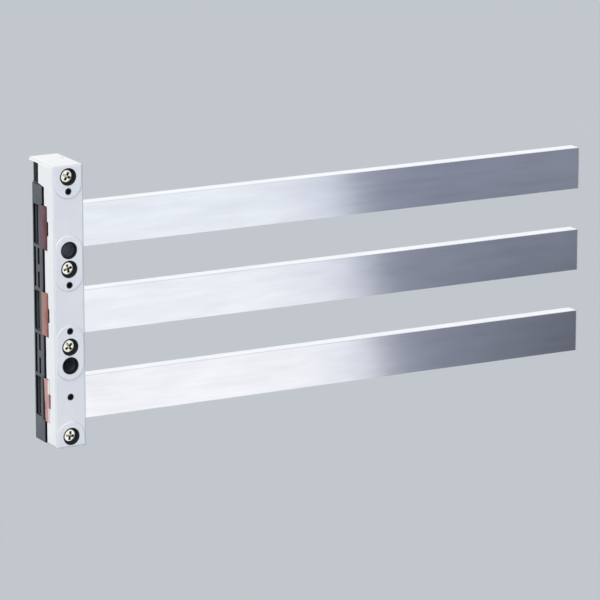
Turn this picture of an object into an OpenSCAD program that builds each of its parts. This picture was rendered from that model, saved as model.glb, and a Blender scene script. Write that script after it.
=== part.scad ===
// Three flat busbars, set edge up one above the other and clamped at one end in a moulded support.
// X runs along the bars and Z is up. Y = 0 is the support's mounting face, and -Y is the front.
// Depths are distances in front of the mounting face, and heights count from the middle of the screws' row.

/* [Busbars] */
// Height of each bar
bar_w = 30; // [24:1:32]
// Thickness of each bar
bar_t = 10; // [8:1:14]
// Length of each bar
bar_length = 420; // [100:1:1200]
// Distance between the centre lines of neighbouring bars
bar_pitch = 60; // [58:1:75]
// How far the middle bar's centre line lies below the middle of the screws' row
bar_drop = 6; // [3:0.5:8]
// How far the bars' cut ends stand out of the cover's left wall
bar_overhang = 0.2; // [0:0.1:4]
// Radius of the bars' long edges
bar_edge_r = 0.4; // [0.2:0.1:1.5]

/* [Base] */
// Depth of the base behind the bars
seat_d = 18; // [17:0.5:24]
// How far the lands between the bars rise above the bar seats
land_rise = 2; // [1:0.5:2.5]
// Depth of the narrower foot at the base's back
foot_d = 4; // [2:0.5:4.5]
// How far the foot's sides stand back from the base's sides
foot_inset = 2.5; // [1:0.5:3]
// How far the base's sides stand back from the cover's sides
base_inset = 0.5; // [0.2:0.1:1]
// Length of the support past the lower edge of the lowest bar
end_block = 16.2; // [16:0.1:25]
// Length of the support past the upper edge of the highest bar
top_block = 29.8; // [29:0.1:40]
// Depth of the pockets in the base's sides
side_pocket_d = 4.8; // [2:0.1:4.8]
// Width of the rear column of side pockets
rear_pocket_w = 3; // [2:0.1:4]
// Width of the front column of side pockets
front_pocket_w = 2.6; // [1.5:0.1:3.5]
// Height of the ribs between the side pockets
side_rib_h = 2.5; // [1.5:0.1:4]
// Height of the blocks that halve the front pockets between the bars
side_block_h = 5; // [3:0.5:8]
// Thickness of the wall in front of the side pockets
side_wall_t = 4; // [2.5:0.1:5]
// How far the web between the two columns stands back behind each bar
web_recess = 2; // [0.5:0.1:3]
// Thickness of the lip behind the side pockets
side_lip_t = 1.5; // [1:0.1:2]
// How far the base's sides stand back beside the cover's top block
top_recess = 3; // [2.5:0.1:3.5]
// Depth of the hollows in the back of the base
core_d = 13; // [6:0.5:14]
// Half the width of the hollows in the back of the base
core_half_w = 5; // [3:0.5:5.5]

/* [Cover] */
// Width of the cover along the bars
cover_w = 23; // [22:0.5:30]
// Wall of the cover
cover_wall = 2; // [1.5:0.1:2.5]
// Depth of the cover in front of the bars
front_d = 10; // [9.5:0.5:14]
// How far the cover's rim reaches behind the bars' front faces
rim_reach = 4; // [2:0.5:5]
// Height of the raised pads on the cover's front
pad_rise = 0.5; // [0.3:0.1:1]
// How far the pads' edges stand back from the cover's sides
pad_inset = 1; // [0.5:0.1:1.5]
// Radius of the pads' edges
pad_edge_r = 1; // [0.3:0.1:1.6]
// How far the middle pads run past the inner screws, to the middle of their round ends
pad_overrun = 5; // [2:0.5:7]
// How far the top pad runs below its screw, to the middle of its round end
top_pad_run = 4.8; // [2:0.1:8]
// Radius of the cover's upright front edges between the pads
cover_edge_r = 1.4; // [0.3:0.1:1.9]
// Radius of the cover's front edges at the top and bottom
cover_end_r = 1.5; // [0.5:0.1:2]
// Radius of the cover's corners, seen from the front
cover_corner_r = 2.2; // [0.5:0.1:3]
// Height of the block at the cover's top that reaches further back
hook_h = 15.5; // [13:0.5:17]
// Depth in front of the mounting face at which that block ends
hook_d = 15; // [12:0.5:16]
// How much lower that block's lower edge lies at the rim than at its back
hook_drop = 1.2; // [0:0.1:2]
// Height of the relief in the cover's left wall in front of each bar's cut end
relief_h = 10; // [4:1:16]
// How far that relief reaches in front of the bar
relief_d = 2; // [1:0.1:4]
// Size of the square release slot in the cover's top
slot_size = 2.2; // [1.5:0.1:3]
// Distance of that slot from the middle of the cover
slot_x = 6.6; // [3:0.1:7]
// Depth of that slot in front of the mounting face
slot_d = 15; // [8:0.5:20]

/* [Screws] */
// Thread diameter of the clamp screws and of the fixing screws
screw_d = 5; // [4:0.5:6]
// Diameter of a clamp screw's head
head_d = 9.2; // [8:0.1:9.6]
// Height of a clamp screw's head
head_h = 3.5; // [2.5:0.1:4.5]
// Distance from the lowest screw to the support's lower end
end_edge = 7.7; // [7.6:0.1:9]
// Distance from the highest screw to the support's upper end
top_edge = 8.3; // [7.6:0.1:9]
// Distance from the inner screws to the nearest bar edge
screw_margin = 6; // [5:0.5:8]
// Distance from an inner screw to the fixing bore beside it
bore_spacing = 13; // [12.5:0.5:15]
// Thickness of the strip under each screw head
strip_floor = 4; // [3:0.1:5]
// Thickness of the strip behind the upper fixing bore
bore_floor = 2; // [1.5:0.1:3]
// Inside diameter of the strip's collars
collar_bore_d = 10.2; // [9.8:0.1:10.6]
// Outside diameter of the strip's collars
collar_d = 11.8; // [11.6:0.1:12.2]
// Width of a nut across its flats
nut_flats = 8; // [7:0.1:9]
// Thickness of a nut
nut_t = 4; // [3:0.1:5]
// Depth that a nut lies in from the mounting face
nut_inset = 1; // [0.5:0.1:2]
// Depth of the fixing screws' seats in front of the mounting face
fixing_floor = 10; // [6:0.5:14]

/* [Small holes] */
// Diameter of the small round holes in the front
probe_d = 2.8; // [2:0.1:3.2]
// Diameter of the strip's sleeves round the small holes
sleeve_d = 4.4; // [4:0.1:5]
// Depth of the small holes below the raised pads
probe_depth = 6.5; // [4:0.5:8]
// Distance from the top screw to the small hole below it
probe_top_step = 10; // [9.5:0.5:14]
// Distance from each inner screw to the small hole beside it
probe_inner_step = 11; // [9.5:0.5:14]
// Distance from the lower fixing bore to the lowest small hole
probe_low_step = 22; // [18:0.5:26]

/* [Clearances] */
// Gap around a bar in its openings
bar_gap = 0.4; // [0.2:0.1:0.8]
// Gap left between the strip and the base's lands, so that the screws press on the bars
clamp_gap = 0.6; // [0.4:0.1:1]
// Gap between moulded pieces that slide into each other
fit_gap = 0.2; // [0.1:0.05:0.4]
// Gap around a screw in its holes, on the radius
screw_gap = 0.25; // [0.15:0.05:0.5]
// Gap between a nut's thread and its screw, on the radius
thread_gap = 0.05; // [0.02:0.01:0.1]

/* [Hidden] */
$fn = 48;
// A cut runs this far past the face that it opens
past = 1;

// Heights
bar_z = [bar_pitch - bar_drop, -bar_drop, -bar_pitch - bar_drop];
low_end = bar_z[2] - bar_w / 2 - end_block;
high_end = bar_z[0] + bar_w / 2 + top_block;
low_screw_z = low_end + end_edge;
top_screw_z = high_end - top_edge;
inner_screw_z = bar_w / 2 + bar_drop + screw_margin;
screw_z = [top_screw_z, inner_screw_z, -inner_screw_z, low_screw_z];
fixing_z = inner_screw_z + bore_spacing;
probe_inner_z = inner_screw_z - probe_inner_step;
probe_z = [top_screw_z - probe_top_step, probe_inner_z, -probe_inner_z, -fixing_z - probe_low_step];
strip_low = low_end + cover_wall + fit_gap;
strip_high = high_end - cover_wall - fit_gap;

// Depths
land_d = seat_d + land_rise;
bar_front = seat_d + bar_t;
rim_d = bar_front - rim_reach;
strip_back_d = land_d + clamp_gap;
pad_d = bar_front + front_d;
body_d = pad_d - pad_rise;
skin_d = body_d - cover_wall;
head_seat_d = bar_front + strip_floor;
probe_front_d = [pad_d, pad_d, pad_d, body_d];
rear_pocket_d = foot_d + side_lip_t;
front_pocket_d = seat_d - side_wall_t - front_pocket_w;

// Widths
inner_w = cover_w - 2 * cover_wall;
strip_w = inner_w - 2 * fit_gap;
base_w = cover_w - 2 * base_inset;
bar_x = -cover_w / 2 - bar_overhang;
hole_d = screw_d + 2 * screw_gap;
pad_half_w = cover_w / 2 - pad_inset;

// Proportions of a clamp screw's head and of its cross recess
dome_share = 0.6;
recess_length_share = 0.7;
recess_width_share = 0.28;
recess_depth_share = 0.6;
recess_turn = 25;

// Lays a shape along the depth at one height: its own +Z becomes the front.
module facing_front(depth, height) {
    translate([0, -depth, height]) rotate([90, 0, 0]) children();
}

// Extrudes a side view, with depth to the left and height upwards, across the given width.
module across(width) {
    rotate([90, 0, 90]) translate([0, 0, -width / 2]) linear_extrude(width) children();
}

// Rectangle of a side view between two depths and two heights.
module side_box(near, far, low, high) {
    translate([-far, low]) square([far - near, high - low]);
}

// Rectangle with rounded corners between two corner points.
module soft_box(low, high, r) {
    size = high - low;
    translate(low + [r, 0]) square([size.x - 2 * r, size.y]);
    translate(low + [0, r]) square([size.x, size.y - 2 * r]);
    for (x = [low.x + r, high.x - r], y = [low.y + r, high.y - r])
        translate([x, y]) circle(r);
}

// Side view of the openings for the bars, from the given depth to behind the base's lands.
module bar_openings(far) {
    for (z = bar_z)
        side_box(seat_d, far, z - bar_w / 2 - bar_gap, z + bar_w / 2 + bar_gap);
}

// Height of the top block's lower edge at the given depth.
function hook_edge(depth) = high_end - hook_h - hook_drop * (depth - hook_d) / (rim_d - hook_d);

// Half section of a raised pad, from its middle to its rounded edge.
module pad_section() {
    square([pad_half_w - pad_edge_r, cover_wall + pad_rise]);
    square([pad_half_w, cover_wall + pad_rise - pad_edge_r]);
    translate([pad_half_w - pad_edge_r, cover_wall + pad_rise - pad_edge_r]) circle(pad_edge_r);
}

// Raised pad between two heights, with a half-round end wherever it stops short of the support's end.
module pad(low, high) {
    translate([0, -skin_d, low]) linear_extrude(high - low)
        for (side = [0, 1])
            mirror([side, 0]) mirror([0, 1]) pad_section();
    for (z = [low, high])
        if (z > low_end && z < high_end) facing_front(skin_d, z) rotate_extrude() pad_section();
}

// Side view of the pockets in the base's sides: two columns between ribs that lie level with the bars' edges,
// and one above them beside the highest screw.
module side_pockets() {
    edges = [for (z = bar_z, side = [1, -1]) z + side * bar_w / 2];
    difference() {
        for (i = [0 : len(edges) - 2]) {
            low = edges[i + 1] + side_rib_h / 2;
            high = edges[i] - side_rib_h / 2;
            side_box(rear_pocket_d, rear_pocket_d + rear_pocket_w, low, high);
            side_box(front_pocket_d, front_pocket_d + front_pocket_w, low, high);
        }
        // A block halves the front column between neighbouring bars
        for (z = [bar_z[0], bar_z[1]])
            translate([0, z - bar_pitch / 2])
                side_box(front_pocket_d - past, seat_d, -side_block_h / 2, side_block_h / 2);
    }
    side_box(rear_pocket_d, hook_d, hook_edge(rim_d) + side_rib_h, strip_high - side_rib_h);
}

// Side view of the stretches of web that stand back, one behind each bar.
module web_hollows() {
    for (z = bar_z)
        side_box(rear_pocket_d, front_pocket_d + front_pocket_w,
            z - (bar_w - side_rib_h) / 2, z + (bar_w - side_rib_h) / 2);
}

// Moulded base: bar seats on a narrower foot, screw holes with nut pockets, side pockets and a hollowed back.
module base() {
    color([0.27, 0.28, 0.30]) difference() {
        across(base_w) difference() {
            side_box(0, land_d, low_end + fit_gap, strip_high);
            bar_openings(land_d + past);
        }
        for (side = [1, -1])
            translate([side * base_w / 2, 0, 0]) {
                across(2 * side_pocket_d) side_pockets();
                across(2 * web_recess) web_hollows();
                across(2 * top_recess) side_box(-past, land_d + past, hook_edge(rim_d) - fit_gap, high_end);
                across(2 * foot_inset) side_box(-past, foot_d, low_end, high_end);
            }
        // Hollows in the back, clear of the fixing holes and of the middle of the mounting face
        for (row = [
            [fixing_z + collar_bore_d, bar_z[0] + bar_w / 2 - side_rib_h],
            [bar_z[1] - bar_w / 2 + side_rib_h, -side_rib_h],
            [bar_z[2] - bar_w / 2 + side_rib_h, bar_z[2] + bar_w / 2 - side_rib_h]
        ])
            across(2 * core_half_w) side_box(-past, core_d, row[0], row[1]);
        for (z = screw_z) {
            facing_front(-past, z) cylinder(d = hole_d, h = land_d + 2 * past);
            facing_front(-past, z) nut_blank(nut_flats + 2 * fit_gap, nut_inset + nut_t + past);
        }
        for (z = [fixing_z, -fixing_z]) {
            facing_front(-past, z) cylinder(d = hole_d, h = land_d + 2 * past);
            facing_front(fixing_floor, z) cylinder(d = collar_bore_d, h = land_d + past);
        }
    }
}

// Inner strip that holds the bars down: it reaches back between them, and has a seat for each screw head
// inside a collar that reaches the front.
module clamp_strip() {
    color([0.17, 0.18, 0.19]) difference() {
        union() {
            across(strip_w) difference() {
                side_box(strip_back_d, skin_d, strip_low, strip_high);
                bar_openings(bar_front);
            }
            for (z = concat(screw_z, [fixing_z, -fixing_z]))
                facing_front(skin_d - past, z) cylinder(d = collar_d, h = pad_d - skin_d + past);
            for (i = [0 : len(probe_z) - 1])
                facing_front(skin_d - past, probe_z[i])
                    cylinder(d = sleeve_d, h = probe_front_d[i] - skin_d + past);
        }
        for (z = screw_z) {
            facing_front(strip_back_d - past, z) cylinder(d = hole_d, h = pad_d - strip_back_d);
            facing_front(head_seat_d, z) cylinder(d = collar_bore_d, h = front_d + past);
        }
        // The upper bore ends above a bar, the lower one leads to the fixing hole behind it
        facing_front(bar_front + bore_floor, fixing_z) cylinder(d = collar_bore_d, h = front_d + past);
        facing_front(strip_back_d - past, -fixing_z)
            cylinder(d = collar_bore_d, h = pad_d - strip_back_d + 2 * past);
        for (z = probe_z)
            facing_front(pad_d - probe_depth, z) cylinder(d = probe_d, h = probe_depth + past);
    }
}

// Side view of the cover: rounded front ends, a hook over the base's top, and a rim notched for the bars.
module cover_side() {
    difference() {
        union() {
            soft_box([-pad_d, low_end], [-rim_d + 2 * cover_end_r, high_end], cover_end_r);
            side_box(hook_d, pad_d - cover_end_r, hook_edge(pad_d), high_end);
            side_box(fit_gap, pad_d - cover_end_r, high_end - cover_wall, high_end);
        }
        polygon([
            [0, low_end - past], [0, hook_edge(0)],
            [-rim_d, hook_edge(rim_d)], [-rim_d, low_end - past]
        ]);
        bar_openings(bar_front + bar_gap);
    }
}

// Thin moulded cover over the strip, with raised pads round the bores.
module cover() {
    mid_pad = [inner_screw_z - pad_overrun, fixing_z];
    color([0.86, 0.88, 0.91]) difference() {
        intersection() {
            union() {
                translate([0, 0, low_end]) linear_extrude(high_end - low_end)
                    soft_box([-cover_w / 2, -body_d], [cover_w / 2, 2 * cover_edge_r], cover_edge_r);
                pad(top_screw_z - top_pad_run, high_end);
                pad(mid_pad[0], mid_pad[1]);
                pad(-mid_pad[1], -mid_pad[0]);
                pad(low_end, low_screw_z);
            }
            across(cover_w) cover_side();
            facing_front(0, 0) linear_extrude(pad_d)
                soft_box([-cover_w / 2, low_end], [cover_w / 2, high_end], cover_corner_r);
        }
        across(inner_w) side_box(-past, skin_d, low_end + cover_wall, high_end - cover_wall);
        translate([-cover_w / 2, 0, 0]) across(2 * cover_wall + past)
            for (z = bar_z)
                side_box(bar_front, bar_front + relief_d, z - relief_h / 2, z + relief_h / 2);
        for (z = concat(screw_z, [fixing_z, -fixing_z]))
            facing_front(skin_d - past, z) cylinder(d = collar_d + 2 * fit_gap, h = pad_d);
        for (z = probe_z)
            facing_front(skin_d - past, z) cylinder(d = sleeve_d + 2 * fit_gap, h = pad_d);
        translate([slot_x, -slot_d, high_end]) cube([slot_size, slot_size, 3 * cover_wall], center = true);
    }
}

// Flat bar with rounded long edges and square-cut ends.
module busbar(index) {
    corner = [bar_t / 2, bar_w / 2];
    color([0.80, 0.81, 0.84])
        translate([bar_x + bar_length / 2, -seat_d - bar_t / 2, bar_z[index]])
            across(bar_length) soft_box(-corner, corner, bar_edge_r);
}

// Hexagonal prism with flats at the sides.
module nut_blank(flats, height) {
    rotate(30) cylinder(d = flats / cos(30), h = height, $fn = 6);
}

// Pan-head screw with a cross recess, its head's seat at the origin and its head upwards.
module pan_screw(length) {
    dome_r = head_h * dome_share;
    recess = [head_d * recess_length_share, screw_d * recess_width_share, head_h * recess_depth_share];
    difference() {
        union() {
            translate([0, 0, -length]) cylinder(d = screw_d, h = length);
            rotate_extrude() intersection() {
                soft_box([-head_d / 2, -2 * dome_r], [head_d / 2, head_h], dome_r);
                square([head_d / 2, head_h]);
            }
        }
        for (turn = [0, 90])
            rotate(turn + recess_turn) translate([-recess.x / 2, -recess.y / 2, head_h - recess.z])
                cube([recess.x, recess.y, recess.z + past]);
    }
}

// Four screws that draw the strip towards the base.
module clamp_screws() {
    color([0.78, 0.77, 0.72])
        for (z = screw_z)
            facing_front(head_seat_d, z) pan_screw(head_seat_d - nut_inset);
}

// Four nuts held in the base's back.
module clamp_nuts() {
    color([0.72, 0.72, 0.70])
        for (z = screw_z)
            facing_front(nut_inset, z) difference() {
                nut_blank(nut_flats, nut_t);
                translate([0, 0, -past]) cylinder(d = screw_d + 2 * thread_gap, h = nut_t + 2 * past);
            }
}

base();
clamp_strip();
cover();
busbar(0);  // busbar_upper
busbar(1);  // busbar_middle
busbar(2);  // busbar_lower
clamp_screws();
clamp_nuts();
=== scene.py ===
import math

import bmesh
import bpy
from mathutils import Matrix, Vector


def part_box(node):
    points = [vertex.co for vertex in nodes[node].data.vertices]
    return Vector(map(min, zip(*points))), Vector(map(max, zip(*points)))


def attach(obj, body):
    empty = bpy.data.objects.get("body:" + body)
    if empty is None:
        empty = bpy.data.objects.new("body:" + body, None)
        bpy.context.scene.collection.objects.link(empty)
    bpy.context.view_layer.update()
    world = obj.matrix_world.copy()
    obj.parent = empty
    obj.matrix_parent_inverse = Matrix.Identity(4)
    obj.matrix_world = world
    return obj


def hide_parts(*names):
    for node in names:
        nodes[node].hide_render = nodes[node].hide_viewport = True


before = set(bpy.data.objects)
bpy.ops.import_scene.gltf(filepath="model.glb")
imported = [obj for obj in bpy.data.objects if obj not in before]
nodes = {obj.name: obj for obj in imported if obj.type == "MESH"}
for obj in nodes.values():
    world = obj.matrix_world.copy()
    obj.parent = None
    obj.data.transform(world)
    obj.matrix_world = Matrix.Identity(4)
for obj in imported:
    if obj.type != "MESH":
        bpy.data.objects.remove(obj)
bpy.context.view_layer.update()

# Lengths are in metres and angles in radians, where nothing else is said
MM = 0.001
MERGE_DISTANCE = 0.002 * MM
CUT_DISTANCE = 0.0002 * MM
QUARTER_TURN = math.radians(90)
NOISE_MIDDLE = 0.5

# Camera: turned to the support's left and looking down on the bars from far away
# The picture is measured in pixels, and the sensor in millimetres
CAMERA_AZIMUTH = math.radians(-28.27)
CAMERA_ELEVATION = math.radians(13.71)
CAMERA_DISTANCE = 2.871
CAMERA_REACH = 100
CAMERA_RIGHT = 0.1598
CAMERA_UP = 0.0094
PICTURE_WIDTH = 600
FOCAL_PIXELS = 4246
SENSOR_WIDTH = 36

# Floor, backdrop and lamps
FLOOR_DROP = 0.45
FLOOR_SIZE = 30
FLOOR_COLOUR = (0.470, 0.507, 0.563, 1)
FLOOR_ROUGHNESS = 0.9
BACKDROP_COLOUR = (0.545, 0.577, 0.610, 1)
SKY_COLOUR = (1, 1, 1, 1)
SKY_STRENGTH = 0.48
SUN_DIRECTION = Vector((-0.652, -0.255, 0.713))
SUN_STRENGTH = 2.72
SUN_COLOUR = (1.0, 0.98, 0.875)
SUN_ANGLE = math.radians(40)
FILL_DIRECTION = Vector((-0.15, -0.97, 0.18))
FILL_STRENGTH = 0.78
FILL_COLOUR = (0.69, 0.725, 1.0)
FILL_ANGLE = math.radians(60)

# Cards in front of the bars, whose shared edge leans and is mirrored as the change from bright to dark
CARD_DISTANCE = 0.8
CARD_HEIGHT = 0.8
CARD_MIDDLE_Z = -0.13
CARD_EDGE_X = 0.680
CARD_EDGE_Z = -0.227
CARD_LEAN = 0.197
WHITE_WIDTH = 0.686
DIM_WIDTH = 1.6

# Their colours at the left and the right, below and above, and where those lie
WHITE_BELOW = ((1.11, 1.11, 1.11, 1), (0.96, 0.98, 1.05, 1))
WHITE_ABOVE = ((0.98, 1.02, 1.06, 1), (0.80, 0.83, 0.94, 1))
WHITE_ACROSS = (CARD_EDGE_X - 0.09, CARD_EDGE_X)
WHITE_HEIGHTS = (-0.30, -0.15)
DIM_BELOW = ((0.26, 0.278, 0.352, 1), (0.103, 0.112, 0.138, 1))
DIM_ABOVE = ((0.265, 0.288, 0.368, 1), (0.275, 0.298, 0.37, 1))
DIM_ACROSS = (CARD_EDGE_X + 0.03, CARD_EDGE_X + 0.22)
DIM_HEIGHTS = (-0.36, -0.13)

# Banded cards to the sides, behind and under the bars; each band start is the middle of a rise to light
BAND_PERIOD = 1.2
BAND_SHADE = (0.26, 0.285, 0.32, 1)
BAND_LIGHT = (0.77, 0.795, 0.83, 1)
LEFT_WIDTH = 3.2
LEFT_X = -1.9
LEFT_BAND_START = -0.5
RIGHT_WIDTH = 1.7
RIGHT_X = 3.25
RIGHT_BAND_START = 3.2
REAR_SIZE = (4.0, 0.55)
REAR_Z = -0.255
REAR_BAND_START = -0.8
UNDER_SIZE = (9.0, 9.0)
UNDER_LIFT = 0.005
UNDER_BAND_START = 0.1

# Pale cards further back and overhead
PALE_COLOUR = (1.08, 1.09, 1.10, 1)
BACK_SIZE = (4.0, 1.6)
BACK_PLACE = (1.0, 1.8, 0.8)
TOP_SIZE = (4.0, 2.6)
TOP_PLACE = (0.6, -0.2, 1.8)

# Tin along the bars, and the bare copper of their cut ends
TIN_TONES = ((0.735, 0.745, 0.78, 1), (0.855, 0.865, 0.90, 1))
TIN_LINES = 0.7
TIN_CLOUDS = 1.6
TIN_ROUGHNESS = 0.115
LINE_ROUGHNESS = 0.05
HANDLED_ROUGHNESS = 0.02
SAWN_ROUGHNESS = 0.33
LINE_RELIEF = 0.05
CUT_STREAKS = 0.3
FRESH_COPPER = ((0.50, 0.22, 0.165, 1), (0.78, 0.42, 0.33, 1))
# A painted reflection of the pale cover wall on the lower bar's cut end
PAINTED_REFLECTION_COLOUR = (0.88, 0.72, 0.68, 1)

# Plated steel of the screws and nuts
ZINC_TONES = ((0.93, 0.91, 0.85, 1), (0.80, 0.77, 0.67, 1))
ZINC_ROUGHNESS = (0.17, 0.29)

# Shares of the recess's depth between which painted shade darkens its walls and a lighter painted shade
# takes its floor
RECESS_WALL_SHARES = (0, 0.25)
RECESS_WALL_SHADE = (0.05, 0.042, 0.03, 1)
RECESS_FLOOR_SHARES = (0.85, 0.98)
RECESS_FLOOR_SHADE = (0.55, 0.50, 0.38, 1)

# Rounded edges of the moulded pieces
EDGE_ROUND = 0.15 * MM
EDGE_STEPS = 2
FLAT_ANGLE = math.radians(0.5)
SHARP_ANGLE = math.radians(40)
SHADE_ANGLE = math.radians(20)

# Painted shade on the walls of the hollows in the support's sides: how far out and how far back they lie,
# and how their walls face
HOLLOW_SHADE_COLOUR = (0.006, 0.0065, 0.0075, 1)
HOLLOW_REACH = (9.4 * MM, 9.6 * MM)
HOLLOW_BACK = -4.2 * MM
HOLLOW_TURN = (0.5, 0.75)

# Where the painted shadow in the gap between the base and the cover starts, and a place in front of every
# piece
COVER_GAP_Y = -19.1 * MM
NO_GAP_Y = -1

# Depths between which painted light brightens the inside of the strip's bores further back
BORE_LIGHT_DEPTHS = (-35.5 * MM, -33 * MM)

# Clamp screws, and the turn of each one's recess in degrees
HEAD_HEIGHT = 3.5 * MM
HEAD_ROUND = 0.6 * MM
HEAD_STEPS = 8
HEAD_CROWN = 0.25 * MM
CROWN_STEPS = 6
NECK_LENGTH = 3 * MM
NECK_STEP = 0.03 * MM
CORE_STEP = 0.05 * MM
SCREW_RADIUS = 2.5 * MM
TIP_CHAMFER = 0.5 * MM
TIP_LENGTH = 1.2 * MM
RECESS_REACH = 3.8 * MM
RECESS_WIDTH = 2.2 * MM
RECESS_DEPTH = 2.3 * MM
RECESS_TAPER = 0.62
SCREW_TURNS = (62, 15, 38, 80)

# Their thread, with the ends of its crest and root in shares of the pitch
THREAD_PITCH = 0.8 * MM
THREAD_DEPTH = 0.43 * MM
THREAD_STEPS = 24
CREST_END = 1 / 8
ROOT_START = 7 / 16
ROOT_END = 11 / 16

# Nuts, and what both kinds of fastener share
NUT_BORE_RADIUS = 2.55 * MM
NUT_CHAMFER = 0.35 * MM
NUT_SLOPE = math.tan(math.radians(30))
NUT_FIRST_CORNER = math.radians(30)
TURN_STEPS = 48
CREASE_ANGLE = math.radians(35)

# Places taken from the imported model
bar_low, bar_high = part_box("busbar_middle")
bar_middle_z = (bar_low.z + bar_high.z) / 2
floor_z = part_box("cover")[0].z - FLOOR_DROP


def set_camera():
    """Makes the camera that looks at the support and the bars from the front left."""
    azimuth, elevation = CAMERA_AZIMUTH, CAMERA_ELEVATION
    back = Vector((
        math.sin(azimuth) * math.cos(elevation),
        -math.cos(azimuth) * math.cos(elevation),
        math.sin(elevation),
    ))
    right = Vector((math.cos(azimuth), math.sin(azimuth), 0))
    up = back.cross(right)
    aim = Vector((0, bar_low.y, bar_middle_z)) + right * CAMERA_RIGHT + up * CAMERA_UP
    turn = Matrix((right, up, back)).transposed().to_4x4()
    camera = bpy.data.objects.new("camera", bpy.data.cameras.new("camera"))
    camera.data.sensor_width = SENSOR_WIDTH
    camera.data.lens = FOCAL_PIXELS / PICTURE_WIDTH * SENSOR_WIDTH
    camera.data.clip_end = CAMERA_REACH
    camera.matrix_world = Matrix.Translation(aim + back * CAMERA_DISTANCE) @ turn
    bpy.context.scene.collection.objects.link(camera)
    bpy.context.scene.camera = camera


# Helpers for node trees

def add(tree, kind, **settings):
    """Adds a shader node of that kind and sets its own settings."""
    node = tree.nodes.new("ShaderNode" + kind)
    for name, value in settings.items():
        setattr(node, name, value)
    return node


def feed(tree, socket, value):
    """Gives an input a plain value, or links it to another node's output."""
    if isinstance(value, bpy.types.NodeSocket):
        tree.links.new(value, socket)
    else:
        socket.default_value = value


def fill(tree, node, **values):
    """Feeds a node's inputs by name, with underscores for the spaces."""
    for name, value in values.items():
        feed(tree, node.inputs[name.replace("_", " ")], value)
    return node


def object_place(tree, scale=(1, 1, 1)):
    """Object coordinates, stretched by a scale along each axis."""
    place = add(tree, "TexCoord")
    mapping = fill(tree, add(tree, "Mapping"), Vector=place.outputs["Object"], Scale=scale)
    return mapping.outputs["Vector"]


def by_axis(tree, output="Object"):
    """The X, Y and Z of the Object coordinates, or of the Normal."""
    place = add(tree, "TexCoord")
    return fill(tree, add(tree, "SeparateXYZ"), Vector=place.outputs[output]).outputs


def noise(tree, vector, scale, detail, roughness=0.5):
    """Noise values over a vector."""
    node = add(tree, "TexNoise")
    fill(tree, node, Vector=vector, Scale=scale, Detail=detail, Roughness=roughness)
    return node.outputs["Fac"]


def ramp(tree, value, old, new=(0, 1), smooth=True):
    """Brings a value from one range to another, clamped at the ends."""
    kind = "SMOOTHSTEP" if smooth else "LINEAR"
    node = add(tree, "MapRange", interpolation_type=kind)
    fill(tree, node, Value=value, From_Min=old[0], From_Max=old[1], To_Min=new[0], To_Max=new[1])
    return node.outputs["Result"]


def combine(tree, operation, first, second=0):
    """A Math node on one or two values, each of them an output or a number."""
    node = add(tree, "Math", operation=operation)
    feed(tree, node.inputs[0], first)
    feed(tree, node.inputs[1], second)
    return node.outputs["Value"]


def times(tree, first, second):
    """The product of two values."""
    return combine(tree, "MULTIPLY", first, second)


def total(tree, first, *others):
    """The sum of several values."""
    for value in others:
        first = combine(tree, "ADD", first, value)
    return first


def swing(tree, value, size):
    """A noise value brought round zero and made as large as size says."""
    return times(tree, combine(tree, "SUBTRACT", value, NOISE_MIDDLE), size)


def blend_colours(tree, factor, first, second):
    """A mix of two colours, each of them an output or a colour."""
    node = add(tree, "Mix", data_type="RGBA")
    feed(tree, node.inputs["Factor"], factor)
    colours = [socket for socket in node.inputs if socket.type == "RGBA"]
    feed(tree, colours[0], first)
    feed(tree, colours[1], second)
    return next(socket for socket in node.outputs if socket.type == "RGBA")


def empty_material(name):
    """A material with no nodes yet; returns it and its tree."""
    material = bpy.data.materials.new(name)
    material.use_nodes = True
    material.node_tree.nodes.clear()
    return material, material.node_tree


def new_material(name):
    """A material with its Principled shader; returns the material, its tree and the shader."""
    material, tree = empty_material(name)
    shader = add(tree, "BsdfPrincipled")
    fill(tree, add(tree, "OutputMaterial"), Surface=shader.outputs["BSDF"])
    return material, tree, shader


def add_bump(tree, shader, height, strength, distance):
    """Lets a height shape a shader's normal."""
    bump = fill(tree, add(tree, "Bump"), Height=height, Strength=strength, Distance=distance)
    fill(tree, shader, Normal=bump.outputs["Normal"])


def new_group(name, inputs, outputs):
    """A shader node group with named number sockets; returns its tree, what it is given and its end."""
    tree = bpy.data.node_groups.new(name, "ShaderNodeTree")
    for socket, value in inputs.items():
        made = tree.interface.new_socket(socket, in_out="INPUT", socket_type="NodeSocketFloat")
        made.default_value = value
    for socket in outputs:
        tree.interface.new_socket(socket, in_out="OUTPUT", socket_type="NodeSocketFloat")
    return tree, tree.nodes.new("NodeGroupInput").outputs, tree.nodes.new("NodeGroupOutput")


def place_group(tree, group, **values):
    """Puts a node group in a material with that material's own values, and returns its outputs."""
    return fill(tree, add(tree, "Group", node_tree=group), **values).outputs


# Effects that several finishes share

def moulded_skin_group():
    """Fine grain, slow clouds of tone and small flecks, as on moulded plastic."""
    tree, given, end = new_group(
        "moulded skin",
        {"Grain Scale": 2200, "Cloud Scale": 40, "Fleck Scale": 1500},
        ("Grain", "Clouds", "Flecks"),
    )
    place = object_place(tree)
    specks = noise(tree, place, given["Fleck Scale"], detail=1)
    fill(
        tree, end,
        Grain=noise(tree, place, given["Grain Scale"], detail=3, roughness=0.6),
        Clouds=noise(tree, place, given["Cloud Scale"], detail=4, roughness=0.55),
        Flecks=ramp(tree, specks, (0.62, 0.72)),
    )
    return tree


def handling_group():
    """Patches that hands and tools have dulled or rubbed."""
    tree, given, end = new_group("handling marks", {"Patch Scale": 30}, ("Patches",))
    patches = noise(tree, object_place(tree), given["Patch Scale"], detail=5, roughness=0.65)
    fill(tree, end, Patches=ramp(tree, patches, (0.42, 0.66)))
    return tree


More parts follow.
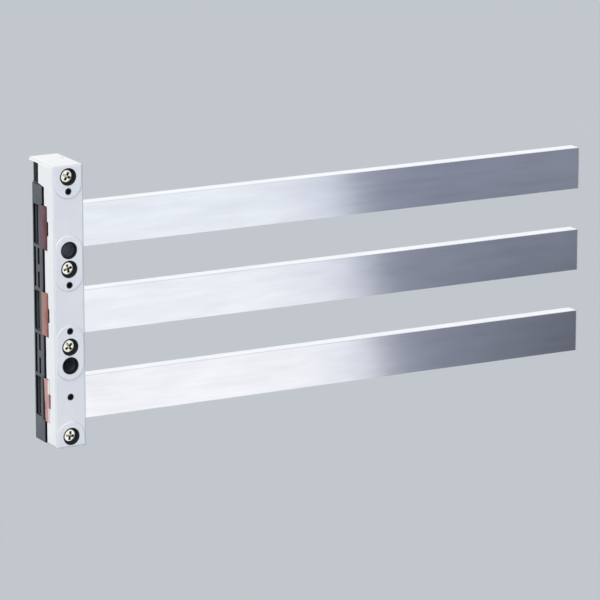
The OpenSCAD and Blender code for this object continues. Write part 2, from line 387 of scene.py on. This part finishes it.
def drawn_lines_group():
    """Lines along a drawn bar, fine ones and broader ones, and soft clouds in its plating."""
    tree, given, end = new_group(
        "drawn lines", {"Fine Share": 0.6, "Broad Share": 0.4}, ("Lines", "Clouds")
    )
    fine = noise(tree, object_place(tree, (3, 260, 900)), scale=1, detail=4, roughness=0.7)
    broad = noise(tree, object_place(tree, (2.2, 90, 210)), scale=1, detail=3)
    clouds = noise(tree, object_place(tree, (24, 100, 120)), scale=1, detail=4)
    lines = total(tree, times(tree, fine, given["Fine Share"]), times(tree, broad, given["Broad Share"]))
    fill(tree, end, Lines=combine(tree, "SUBTRACT", lines, NOISE_MIDDLE), Clouds=clouds)
    return tree


def side_face_group():
    """How near a surface is to the support's two outer sides, and where it is a wall of a hollow in them.

    What lies in front of Front counts as part of the gap under the cover.
    """
    tree, given, end = new_group(
        "side face", {"Inner": 8 * MM, "Outer": 9 * MM, "Front": NO_GAP_Y}, ("Side", "Hollow")
    )
    place = by_axis(tree)
    away = combine(tree, "ABSOLUTE", place["X"])
    facing = combine(tree, "ABSOLUTE", by_axis(tree, "Normal")["X"])
    wall = ramp(tree, facing, HOLLOW_TURN, (1, 0))
    forward = combine(tree, "LESS_THAN", place["Y"], HOLLOW_BACK)
    outward = ramp(tree, away, HOLLOW_REACH)
    hollow = times(tree, wall, times(tree, forward, outward))
    gap = combine(tree, "LESS_THAN", place["Y"], given["Front"])
    fill(
        tree, end,
        Side=ramp(tree, away, (given["Inner"], given["Outer"])),
        Hollow=combine(tree, "MAXIMUM", hollow, gap),
    )
    return tree


def rounded_edge_group():
    """Where a surface turns from one side of a moulding to the next."""
    tree, given, end = new_group("rounded edges", {"Start": 0.02, "Full": 0.2}, ("Edge",))
    facing = by_axis(tree, "Normal")
    most = combine(tree, "ABSOLUTE", facing["X"])
    for axis in ("Y", "Z"):
        most = combine(tree, "MAXIMUM", most, combine(tree, "ABSOLUTE", facing[axis]))
    turn = combine(tree, "SUBTRACT", 1, most)
    fill(tree, end, Edge=ramp(tree, turn, (given["Start"], given["Full"])))
    return tree


def cut_end_group():
    """Where the bars are cut through their plating, and the marks of the cut.

    At the middle of the near end, at the Level heights, the cut's copper reaches further along the bar.
    """
    tree, given, end = new_group(
        "cut end",
        {"Edge": 0.25 * MM, "Level Reach": 1.4 * MM, "Level Height": 5 * MM, "Middle": 0},
        ("Cut", "Far", "Level", "Marks", "Blotches"),
    )
    place = by_axis(tree)
    offset = combine(tree, "SUBTRACT", place["Z"], given["Middle"])
    level = combine(tree, "LESS_THAN", combine(tree, "ABSOLUTE", offset), given["Level Height"])
    reach = total(tree, given["Edge"], times(tree, level, given["Level Reach"]))
    near = combine(tree, "LESS_THAN", combine(tree, "SUBTRACT", place["X"], bar_low.x), reach)
    far = combine(tree, "LESS_THAN", combine(tree, "SUBTRACT", bar_high.x, place["X"]), given["Edge"])
    fill(
        tree, end,
        Cut=combine(tree, "MAXIMUM", near, far),
        Far=far,
        Level=level,
        Marks=noise(tree, object_place(tree, (300, 1500, 160)), scale=1, detail=4, roughness=0.65),
        Blotches=noise(tree, object_place(tree), scale=140, detail=3),
    )
    return tree


def turned_rings_group():
    """Fine rings left by turning, by the distance from the axis that the piece carries."""
    tree, given, end = new_group("turned rings", {"Ring Scale": 6000}, ("Rings",))
    away = add(tree, "Attribute", attribute_name="from_axis")
    wave = add(tree, "TexNoise", noise_dimensions="1D")
    fill(tree, wave, W=times(tree, away.outputs["Fac"], given["Ring Scale"]), Scale=1, Detail=2)
    fill(tree, end, Rings=wave.outputs["Fac"])
    return tree


# Finishes

def moulded_plastic(
    name, tones, fleck, edge, roughness, grain_height, shine,
    painted_shade=None, reach=None, front=NO_GAP_Y, bore_light=None,
):
    """A moulded plastic between two tones, with flecks, and a tone of its own on the rounded edges that
    paints a highlight on the dark mouldings and shade on the pale cover.

    The colour given for surfaces away from the support's sides paints shade there, and reach the two
    distances between which it changes.
    front is where the painted shadow in the gap under the cover starts; that gap and the walls of the side
    hollows take a darker painted shade.
    The colour given for further back inside paints light on the inside of the bores.
    """
    material, tree, shader = new_material(name)
    skin = place_group(tree, moulded_skin)
    marks = place_group(tree, handling)
    edges = place_group(tree, rounded_edges)
    colour = blend_colours(tree, ramp(tree, skin["Clouds"], (0.3, 0.7)), tones[0], tones[1])
    colour = blend_colours(tree, skin["Flecks"], colour, fleck)
    # The edge tone is a painted highlight on the dark mouldings and painted shade on the pale cover
    colour = blend_colours(tree, edges["Edge"], colour, edge)
    if painted_shade:
        sides = place_group(tree, side_face, Inner=reach[0], Outer=reach[1], Front=front)
        if bore_light:
            # Painted light on the inside of the bores further back
            painted_shade = blend_colours(tree, ramp(tree, by_axis(tree)["Y"], BORE_LIGHT_DEPTHS), painted_shade, bore_light)
        # Painted shade on the surfaces away from the support's sides
        colour = blend_colours(tree, sides["Side"], painted_shade, colour)
        # Darker painted shade on the walls of the side hollows and in the gap under the cover
        colour = blend_colours(tree, sides["Hollow"], colour, HOLLOW_SHADE_COLOUR)
    spread = ramp(tree, marks["Patches"], (0, 1), roughness, smooth=False)
    fill(tree, shader, Base_Color=colour, Roughness=spread, Specular_IOR_Level=shine)
    add_bump(tree, shader, skin["Grain"], strength=0.35, distance=grain_height)
    return material


def tinned_bar(name, node, rear_copper, front_copper, border, blotch, lean=0, reflection_shares=None):
    """Bright tin along the bar, and bare copper at the cut ends.

    At the near end the copper changes tone across the bar's thickness, at a border that blotches and a lean
    disturb, and where asked a painted reflection of the pale cover wall covers the front of the cut,
    starting between two shares of the thickness.
    """
    material, tree, shader = new_material(name)
    fill(tree, shader, Metallic=1)
    low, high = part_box(node)
    drawn = place_group(tree, drawn_lines)
    ends = place_group(tree, cut_end, Middle=(low.z + high.z) / 2)
    marks = place_group(tree, handling, Patch_Scale=18)
    place = by_axis(tree)

    lines = times(tree, drawn["Lines"], TIN_LINES)
    clouds = swing(tree, drawn["Clouds"], TIN_CLOUDS)
    tin = blend_colours(tree, total(tree, lines, clouds, NOISE_MIDDLE), TIN_TONES[0], TIN_TONES[1])
    depth = ramp(tree, place["Y"], (high.y, low.y), smooth=False)
    blotches = swing(tree, ends["Blotches"], blotch)
    stained = total(tree, depth, blotches, swing(tree, ends["Marks"], CUT_STREAKS))
    rise = ramp(tree, place["Z"], (low.z, high.z), (-lean, lean), smooth=False)
    tone = ramp(tree, total(tree, stained, rise), border)
    copper = blend_colours(tree, tone, rear_copper, front_copper)
    if reflection_shares:
        near = combine(tree, "SUBTRACT", ends["Cut"], ends["Far"])
        off_level = combine(tree, "MAXIMUM", combine(tree, "SUBTRACT", near, ends["Level"]), 0)
        # A painted reflection of the pale cover wall over the front of the cut, made not metallic
        reflection_share = times(tree, ramp(tree, stained, reflection_shares), off_level)
        copper = blend_colours(tree, reflection_share, copper, PAINTED_REFLECTION_COLOUR)
        fill(tree, shader, Metallic=combine(tree, "SUBTRACT", 1, reflection_share))
    fresh = blend_colours(tree, ends["Blotches"], FRESH_COPPER[0], FRESH_COPPER[1])
    copper = blend_colours(tree, ends["Far"], copper, fresh)
    fill(tree, shader, Base_Color=blend_colours(tree, ends["Cut"], tin, copper))

    polish = total(tree, TIN_ROUGHNESS, times(tree, drawn["Lines"], LINE_ROUGHNESS))
    handled = times(tree, marks["Patches"], HANDLED_ROUGHNESS)
    fill(tree, shader, Roughness=total(tree, polish, handled, times(tree, ends["Cut"], SAWN_ROUGHNESS)))
    sawn = times(tree, ends["Marks"], ends["Cut"])
    relief = total(tree, sawn, times(tree, drawn["Lines"], LINE_RELIEF))
    add_bump(tree, shader, relief, strength=0.3, distance=0.1 * MM)
    return material


def zinc_plate():
    """Plated steel with a faint yellow tone and turning rings, with painted shade in the cross recess."""
    material, tree, shader = new_material("zinc plated steel")
    rings = place_group(tree, turned_rings)
    marks = place_group(tree, handling, Patch_Scale=160)
    sunk = add(tree, "Attribute", attribute_name="sunk").outputs["Fac"]
    walls = ramp(tree, sunk, [share * RECESS_DEPTH for share in RECESS_WALL_SHARES])
    floor = ramp(tree, sunk, [share * RECESS_DEPTH for share in RECESS_FLOOR_SHARES])
    colour = blend_colours(tree, marks["Patches"], ZINC_TONES[0], ZINC_TONES[1])
    # Painted shade on the recess walls, and a lighter painted shade on its floor
    colour = blend_colours(tree, walls, colour, RECESS_WALL_SHADE)
    colour = blend_colours(tree, floor, colour, RECESS_FLOOR_SHADE)
    spread = ramp(tree, rings["Rings"], (0.3, 0.7), ZINC_ROUGHNESS, smooth=False)
    fill(tree, shader, Base_Color=colour, Roughness=spread, Metallic=1)
    add_bump(tree, shader, rings["Rings"], strength=0.2, distance=0.03 * MM)
    return material


# Making pieces

def new_object(name, bm, material=None):
    """Makes an object at the origin from a bmesh, which is freed."""
    mesh = bpy.data.meshes.new(name)
    bm.to_mesh(mesh)
    bm.free()
    if material:
        mesh.materials.append(material)
    obj = bpy.data.objects.new(name, mesh)
    bpy.context.scene.collection.objects.link(obj)
    return obj


def new_piece(name, bm, material, shade_angle, node):
    """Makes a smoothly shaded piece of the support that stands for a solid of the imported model."""
    piece = new_object(name, bm, material)
    piece.data.shade_smooth()
    piece.data.set_sharp_from_angle(angle=shade_angle)
    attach(piece, "root")
    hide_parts(node)


def merged_copy(node):
    """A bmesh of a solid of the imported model, with its loose triangles joined."""
    bm = bmesh.new()
    bm.from_mesh(nodes[node].data)
    bmesh.ops.remove_doubles(bm, verts=bm.verts, dist=MERGE_DISTANCE)
    return bm


def turned(points):
    """A closed solid of revolution from the corners of its half section, listed from axis to axis."""
    bm = bmesh.new()
    corners = [bm.verts.new((radius, 0, height)) for radius, height in points]
    sides = [bm.edges.new(pair) for pair in zip(corners, corners[1:])]
    bmesh.ops.spin(
        bm, geom=corners + sides, cent=(0, 0, 0), axis=(0, 0, 1), dvec=(0, 0, 0),
        angle=2 * math.pi, steps=TURN_STEPS, use_merge=True, use_duplicate=False,
    )
    bmesh.ops.remove_doubles(bm, verts=bm.verts, dist=MERGE_DISTANCE)
    bmesh.ops.recalc_face_normals(bm, faces=bm.faces)
    return bm


def joined(bm, other, operation):
    """One bmesh cut by, joined to or kept inside another, without slivers."""
    base = new_object("shape", bm)
    tool = new_object("tool", other)
    modifier = base.modifiers.new("join", "BOOLEAN")
    modifier.operation = operation
    modifier.solver = "EXACT"
    modifier.use_self = True
    modifier.object = tool
    bpy.context.view_layer.update()
    shaped = base.evaluated_get(bpy.context.evaluated_depsgraph_get()).to_mesh()
    result = bmesh.new()
    result.from_mesh(shaped)
    bmesh.ops.remove_doubles(result, verts=result.verts, dist=MERGE_DISTANCE)
    bmesh.ops.dissolve_degenerate(result, edges=result.edges, dist=MERGE_DISTANCE)
    for obj in (base, tool):
        mesh = obj.data
        bpy.data.objects.remove(obj)
        bpy.data.meshes.remove(mesh)
    return result


def solid_boxes(node):
    """Lowest and highest corner of each separate solid in a node, the highest solid first."""
    bm = merged_copy(node)
    boxes = []
    waiting = set(bm.verts)
    while waiting:
        reached = [waiting.pop()]
        for vert in reached:
            for edge in vert.link_edges:
                other = edge.other_vert(vert)
                if other in waiting:
                    waiting.remove(other)
                    reached.append(other)
        corners = [vert.co for vert in reached]
        low = Vector([min(co[axis] for co in corners) for axis in range(3)])
        high = Vector([max(co[axis] for co in corners) for axis in range(3)])
        boxes.append((low, high))
    bm.free()
    return sorted(boxes, key=lambda box: -box[0].z)


def cross_cutter():
    """Two crossing wedges, narrower towards the bottom, that cut a screw's cross recess."""
    bm = bmesh.new()
    size = Vector((2 * RECESS_REACH, RECESS_WIDTH, 2 * RECESS_DEPTH))
    for turn in (0, QUARTER_TURN):
        wedge = bmesh.ops.create_cube(bm, size=1)["verts"]
        bmesh.ops.scale(bm, vec=size, verts=wedge)
        bottom = [vert for vert in wedge if vert.co.z < 0]
        bmesh.ops.scale(bm, vec=(RECESS_TAPER, RECESS_TAPER, 1), verts=bottom)
        bmesh.ops.rotate(bm, cent=(0, 0, 0), matrix=Matrix.Rotation(turn, 3, "Z"), verts=wedge)
    bmesh.ops.translate(bm, vec=(0, 0, HEAD_HEIGHT), verts=bm.verts)
    return bm


def thread_coil(length):
    """A screw thread wound down from the neck, cut square at both ends."""
    crest, root, pitch = SCREW_RADIUS, SCREW_RADIUS - THREAD_DEPTH, THREAD_PITCH
    section = ((crest, 0), (crest, CREST_END), (root, ROOT_START), (root, ROOT_END), (crest, 1))
    bm = bmesh.new()
    corners = [bm.verts.new((radius, 0, -share * pitch)) for radius, share in section]
    sides = [bm.edges.new(pair) for pair in zip(corners, corners[1:])]
    turns = math.ceil(length / pitch) + 1
    bmesh.ops.spin(
        bm, geom=corners + sides, cent=(0, 0, 0), axis=(0, 0, 1), dvec=(0, 0, -pitch / THREAD_STEPS),
        angle=2 * math.pi * turns, steps=THREAD_STEPS * turns, use_merge=False, use_duplicate=False,
    )
    bmesh.ops.remove_doubles(bm, verts=bm.verts, dist=MERGE_DISTANCE)
    for height, side in ((-pitch, 1), (-pitch - length, -1)):
        cut = bmesh.ops.bisect_plane(
            bm, geom=bm.verts[:] + bm.edges[:] + bm.faces[:], dist=CUT_DISTANCE,
            plane_co=(0, 0, height), plane_no=(0, 0, side), clear_outer=True,
        )["geom_cut"]
        rim = [item for item in cut if isinstance(item, bmesh.types.BMEdge)]
        bmesh.ops.edgeloop_fill(bm, edges=rim)
    bmesh.ops.recalc_face_normals(bm, faces=bm.faces)
    bmesh.ops.translate(bm, vec=(0, 0, pitch - NECK_LENGTH + THREAD_DEPTH), verts=bm.verts)
    return bm


def crown_height(share):
    """Height of a screw head's crowned face, at a share of the head's radius from its middle."""
    return HEAD_HEIGHT - HEAD_CROWN * share * share


def pan_head_screw(head_radius, length):
    """A screw with its head's seat at the origin and its head upwards.

    Its neck is a little wider than the thread's crest and its core a little narrower than the root, so that
    the thread crosses both cleanly.
    """
    neck = SCREW_RADIUS + NECK_STEP
    core = SCREW_RADIUS - THREAD_DEPTH - CORE_STEP
    shares = [step / CROWN_STEPS for step in range(CROWN_STEPS + 1)]
    body = turned((
        *((head_radius * share, crown_height(share)) for share in shares),
        (head_radius, 0), (neck, 0), (neck, -NECK_LENGTH), (core, -NECK_LENGTH - THREAD_DEPTH),
        (core, TIP_CHAMFER - length), (core - TIP_CHAMFER, -length), (0, -length),
    ))
    shoulder = [
        edge for edge in body.edges
        if all(
            abs(vert.co.z - crown_height(1)) < MERGE_DISTANCE
            and abs(vert.co.xy.length - head_radius) < MERGE_DISTANCE
            for vert in edge.verts
        )
    ]
    bmesh.ops.bevel(
        body, geom=shoulder, offset=HEAD_ROUND, segments=HEAD_STEPS,
        profile=0.5, affect="EDGES", material=-1,
    )
    body = joined(body, cross_cutter(), "DIFFERENCE")
    return joined(body, thread_coil(length - NECK_LENGTH - TIP_LENGTH), "UNION")


def hexagon_nut(flats, thickness):
    """A nut with its lower face at the origin, its corners turned off and its bore countersunk."""
    corner = flats / math.sqrt(3)
    bm = bmesh.new()
    bmesh.ops.create_cone(
        bm, segments=6, radius1=corner, radius2=corner, depth=thickness, cap_ends=True, cap_tris=False
    )
    first = bm.verts[:][0].co
    turn = NUT_FIRST_CORNER - math.atan2(first.y, first.x)
    bmesh.ops.rotate(bm, cent=(0, 0, 0), matrix=Matrix.Rotation(turn, 3, "Z"), verts=bm.verts)
    half = thickness / 2
    past = half + NUT_CHAMFER
    face = flats / 2 - NUT_CHAMFER / 2
    narrow = face - NUT_CHAMFER / NUT_SLOPE
    wide = corner + NUT_CHAMFER
    edge = half - (wide - face) * NUT_SLOPE
    lens = turned(((0, past), (narrow, past), (wide, edge), (wide, -edge), (narrow, -past), (0, -past)))
    bm = joined(bm, lens, "INTERSECT")
    mouth = NUT_BORE_RADIUS + 2 * NUT_CHAMFER
    inner = half - NUT_CHAMFER
    bore = turned((
        (0, past), (mouth, past), (NUT_BORE_RADIUS, inner),
        (NUT_BORE_RADIUS, -inner), (mouth, -past), (0, -past),
    ))
    bm = joined(bm, bore, "DIFFERENCE")
    bmesh.ops.translate(bm, vec=(0, 0, half), verts=bm.verts)
    return bm


def fasten(name, shape, place, turn, node, material, head_radius=None):
    """Sets a copy of a turned shape in place, its own +Z to the front, as a piece of the support."""
    bm = shape.copy()
    bm.verts.layers.float.new("from_axis")
    bm.verts.layers.float.new("sunk")
    away = bm.verts.layers.float["from_axis"]
    sunk = bm.verts.layers.float["sunk"]
    for vert in bm.verts:
        vert[away] = vert.co.xy.length
        in_recess = vert[away] < RECESS_REACH + MERGE_DISTANCE and vert.co.z > MERGE_DISTANCE
        if head_radius and in_recess:
            vert[sunk] = max(0, crown_height(vert[away] / head_radius) - vert.co.z)
    to_front = Matrix.Rotation(QUARTER_TURN, 4, "X") @ Matrix.Rotation(math.radians(turn), 4, "Z")
    bmesh.ops.transform(bm, matrix=Matrix.Translation(place) @ to_front, verts=bm.verts)
    new_piece(name, bm, material, CREASE_ANGLE, node)


def set_fasteners():
    """Puts the detailed screws and nuts where the plain ones are."""
    zinc = zinc_plate()
    screws = solid_boxes("clamp_screws")
    low, high = screws[0]
    head_radius = (high.x - low.x) / 2
    screw = pan_head_screw(head_radius, high.y - low.y - HEAD_HEIGHT)
    for i, (low, high) in enumerate(screws):
        seat = Vector((0, low.y + HEAD_HEIGHT, (low.z + high.z) / 2))
        fasten(f"clamp_screw_{i + 1}", screw, seat, SCREW_TURNS[i], "clamp_screws", zinc, head_radius)
    nuts = solid_boxes("clamp_nuts")
    low, high = nuts[0]
    nut = hexagon_nut(high.x - low.x, high.y - low.y)
    for i, (low, high) in enumerate(nuts):
        seat = Vector((0, high.y, (low.z + high.z) / 2))
        fasten(f"clamp_nut_{i + 1}", nut, seat, 0, "clamp_nuts", zinc)


def soften(node, material):
    """Puts a merged copy with rounded edges in the place of a moulded solid."""
    bm = merged_copy(node)
    bmesh.ops.dissolve_limit(bm, angle_limit=FLAT_ANGLE, verts=bm.verts, edges=bm.edges)
    sharp = [edge for edge in bm.edges if edge.calc_face_angle(0) > SHARP_ANGLE]
    bmesh.ops.bevel(
        bm, geom=sharp, offset=EDGE_ROUND, segments=EDGE_STEPS,
        profile=0.5, affect="EDGES", material=-1,
    )
    new_piece(f"{node}_moulding", bm, material, SHADE_ANGLE, node)


def dress(node, material):
    """Gives a solid its finish."""
    slots = nodes[node].data.materials
    slots.clear()
    slots.append(material)


# Studio

def new_glow(name):
    """A glowing material with no colour yet; returns it, its tree and its shader."""
    material, tree = empty_material(name)
    glow = fill(tree, add(tree, "Emission"), Strength=1)
    fill(tree, add(tree, "OutputMaterial"), Surface=glow.outputs["Emission"])
    return material, tree, glow


def blended_glow(name, below, above, across, heights):
    """A card's glow, blended from its colours at the left and the right of two heights."""
    material, tree, glow = new_glow(name)
    place = by_axis(tree)
    rise = combine(tree, "SUBTRACT", place["Z"], CARD_EDGE_Z)
    upright = total(tree, place["X"], times(tree, rise, CARD_LEAN))
    along = ramp(tree, upright, across, smooth=False)
    height = ramp(tree, place["Z"], heights, smooth=False)
    low = blend_colours(tree, along, below[0], below[1])
    high = blend_colours(tree, along, above[0], above[1])
    fill(tree, glow, Color=blend_colours(tree, height, low, high))
    return material


def banded_glow(name, start):
    """A card's glow in soft light and dark bands along the bars."""
    material, tree, glow = new_glow(name)
    past_start = combine(tree, "SUBTRACT", by_axis(tree)["X"], start)
    wave = combine(tree, "SINE", times(tree, past_start, 2 * math.pi / BAND_PERIOD))
    share = ramp(tree, wave, (-1, 1), smooth=False)
    fill(tree, glow, Color=blend_colours(tree, share, BAND_SHADE, BAND_LIGHT))
    return material


def plain_glow(name, colour):
    """A card's even glow."""
    material, tree, glow = new_glow(name)
    fill(tree, glow, Color=colour)
    return material


def studio_card(name, size, place, upright, material, lean=0):
    """A flat card that only metal mirrors; an upright one may lean to one side."""
    turn = QUARTER_TURN if upright else 0
    bm = bmesh.new()
    bmesh.ops.create_grid(bm, x_segments=1, y_segments=1, size=0.5)
    bmesh.ops.scale(bm, vec=(size[0], size[1], 1), verts=bm.verts)
    bmesh.ops.rotate(bm, cent=(0, 0, 0), matrix=Matrix.Rotation(turn, 3, "X"), verts=bm.verts)
    bmesh.ops.translate(bm, vec=place, verts=bm.verts)
    for vert in bm.verts:
        vert.co.x -= lean * (vert.co.z - CARD_EDGE_Z)
    card = new_object(name, bm, material)
    card.visible_camera = False
    card.visible_shadow = False
    card.visible_diffuse = False


def set_cards():
    """Cards for the metal: white and dim ones in front, and others on the other sides."""
    white = blended_glow("white card", WHITE_BELOW, WHITE_ABOVE, WHITE_ACROSS, WHITE_HEIGHTS)
    dim = blended_glow("dim card", DIM_BELOW, DIM_ABOVE, DIM_ACROSS, DIM_HEIGHTS)
    left = banded_glow("left card", LEFT_BAND_START)
    right = banded_glow("right card", RIGHT_BAND_START)
    rear = banded_glow("rear card", REAR_BAND_START)
    under = banded_glow("floor card", UNDER_BAND_START)
    pale = plain_glow("pale card", PALE_COLOUR)
    front_y = bar_low.y - CARD_DISTANCE
    for name, width, middle_x, glow, lean in (
        ("white_card", WHITE_WIDTH, CARD_EDGE_X - WHITE_WIDTH / 2, white, CARD_LEAN),
        ("dim_card", DIM_WIDTH, CARD_EDGE_X + DIM_WIDTH / 2, dim, CARD_LEAN),
        ("left_card", LEFT_WIDTH, LEFT_X, left, 0),
        ("right_card", RIGHT_WIDTH, RIGHT_X, right, 0),
    ):
        studio_card(name, (width, CARD_HEIGHT), (middle_x, front_y, CARD_MIDDLE_Z), True, glow, lean)
    studio_card("rear_card", REAR_SIZE, (0, CARD_DISTANCE, REAR_Z), True, rear)
    studio_card("back_card", BACK_SIZE, BACK_PLACE, True, pale)
    studio_card("top_card", TOP_SIZE, TOP_PLACE, False, pale)
    studio_card("floor_card", UNDER_SIZE, (0, 0, floor_z + UNDER_LIFT), False, under)


def set_floor():
    """A pale, matt floor far below the object."""
    finish, tree, shader = new_material("pale floor")
    fill(tree, shader, Base_Color=FLOOR_COLOUR, Roughness=FLOOR_ROUGHNESS, Specular_IOR_Level=0)
    bm = bmesh.new()
    bmesh.ops.create_grid(bm, x_segments=1, y_segments=1, size=FLOOR_SIZE / 2)
    bmesh.ops.translate(bm, vec=(0, 0, floor_z), verts=bm.verts)
    new_object("studio_floor", bm, finish)


def soft_sun(name, direction, strength, colour, angle):
    """A wide, soft light from one direction."""
    sun = bpy.data.objects.new(name, bpy.data.lights.new(name, "SUN"))
    sun.data.energy = strength
    sun.data.color = colour
    sun.data.angle = angle
    sun.rotation_mode = "QUATERNION"
    sun.rotation_quaternion = direction.to_track_quat("Z", "Y")
    bpy.context.scene.collection.objects.link(sun)
    return sun


def set_sky():
    """An even white sky that lights the object, and a plain backdrop that is seen and mirrored."""
    world = bpy.data.worlds.new("studio sky")
    bpy.context.scene.world = world
    world.use_nodes = True
    tree = world.node_tree
    tree.nodes.clear()
    sky = fill(tree, add(tree, "Background"), Color=SKY_COLOUR, Strength=SKY_STRENGTH)
    backdrop = fill(tree, add(tree, "Background"), Color=BACKDROP_COLOUR, Strength=1)
    path = add(tree, "LightPath").outputs
    seen = combine(tree, "MAXIMUM", path["Is Camera Ray"], path["Is Glossy Ray"])
    seen = combine(tree, "MAXIMUM", seen, path["Is Transmission Ray"])
    mix = fill(tree, add(tree, "MixShader"), Fac=seen)
    tree.links.new(sky.outputs["Background"], mix.inputs[1])
    tree.links.new(backdrop.outputs["Background"], mix.inputs[2])
    fill(tree, add(tree, "OutputWorld"), Surface=mix.outputs["Shader"])


def set_studio():
    """Floor, cards, a soft key light from the upper left, a weak fill from the front, and the sky."""
    set_floor()
    set_cards()
    soft_sun("key_light", SUN_DIRECTION, SUN_STRENGTH, SUN_COLOUR, SUN_ANGLE)
    front_fill = soft_sun("fill_light", FILL_DIRECTION, FILL_STRENGTH, FILL_COLOUR, FILL_ANGLE)
    front_fill.visible_glossy = False
    set_sky()
    bpy.context.scene.view_settings.view_transform = "Standard"


moulded_skin = moulded_skin_group()
side_face = side_face_group()
rounded_edges = rounded_edge_group()
handling = handling_group()
drawn_lines = drawn_lines_group()
cut_end = cut_end_group()
turned_rings = turned_rings_group()

set_camera()
set_studio()
dress("cover", moulded_plastic(
    "pale satin moulding",
    tones=((0.735, 0.757, 0.80, 1), (0.775, 0.795, 0.83, 1)),
    fleck=(0.72, 0.745, 0.79, 1),
    # Painted shade on the rounded edges, which tones their highlights down
    edge=(0.60, 0.62, 0.66, 1),
    roughness=(0.38, 0.5),
    grain_height=0.02 * MM,
    shine=0.5,
))
soften("base", moulded_plastic(
    "dark glass-filled moulding",
    tones=((0.088, 0.097, 0.115, 1), (0.108, 0.118, 0.139, 1)),
    fleck=(0.13, 0.14, 0.162, 1),
    # Painted highlight on the rounded edges
    edge=(0.15, 0.16, 0.18, 1),
    roughness=(0.46, 0.6),
    grain_height=0.05 * MM,
    shine=0.15,
    # Painted shade on the pocket floors and other surfaces away from the sides
    painted_shade=(0.009, 0.010, 0.012, 1),
    reach=(7.9 * MM, 8.9 * MM),
    # Painted shadow in the gap between the base and the cover
    front=COVER_GAP_Y,
))
soften("clamp_strip", moulded_plastic(
    "black glass-filled moulding",
    tones=((0.022, 0.027, 0.029, 1), (0.028, 0.034, 0.036, 1)),
    fleck=(0.04, 0.045, 0.05, 1),
    # A faint painted highlight on the rounded edges
    edge=(0.03, 0.036, 0.038, 1),
    roughness=(0.42, 0.55),
    grain_height=0.05 * MM,
    shine=0.15,
    # Painted shade inside the bores, away from the sides
    painted_shade=(0.012, 0.0145, 0.0155, 1),
    reach=(6 * MM, 8 * MM),
    # Painted light on the inside of the bores further back
    bore_light=(0.15, 0.175, 0.178, 1),
))
dress("busbar_upper", tinned_bar(
    "tinned upper bar", "busbar_upper",
    # Both copper tones are painted darker, as the shade under the hook at the top of the support
    rear_copper=(0.26, 0.13, 0.165, 1),
    front_copper=(0.18, 0.065, 0.062, 1),
    border=(0.35, 0.8),
    blotch=1.6,
))
dress("busbar_middle", tinned_bar(
    "tinned middle bar", "busbar_middle",
    rear_copper=(0.60, 0.33, 0.27, 1),
    front_copper=(0.40, 0.125, 0.123, 1),
    border=(0.45, 1.05),
    blotch=1.0,
))
dress("busbar_lower", tinned_bar(
    "tinned lower bar", "busbar_lower",
    # The near-black rear tone is a painted shadow along the back of the cut end
    rear_copper=(0.02, 0.005, 0.005, 1),
    front_copper=(0.82, 0.48, 0.46, 1),
    border=(0.25, 0.41),
    blotch=0.3,
    # Slants the border of that painted shadow, so it grows wider towards the bottom
    lean=0.1,
    # Painted reflection of the pale cover wall over the front of the cut
    reflection_shares=(0.77, 0.87),
))
set_fasteners()
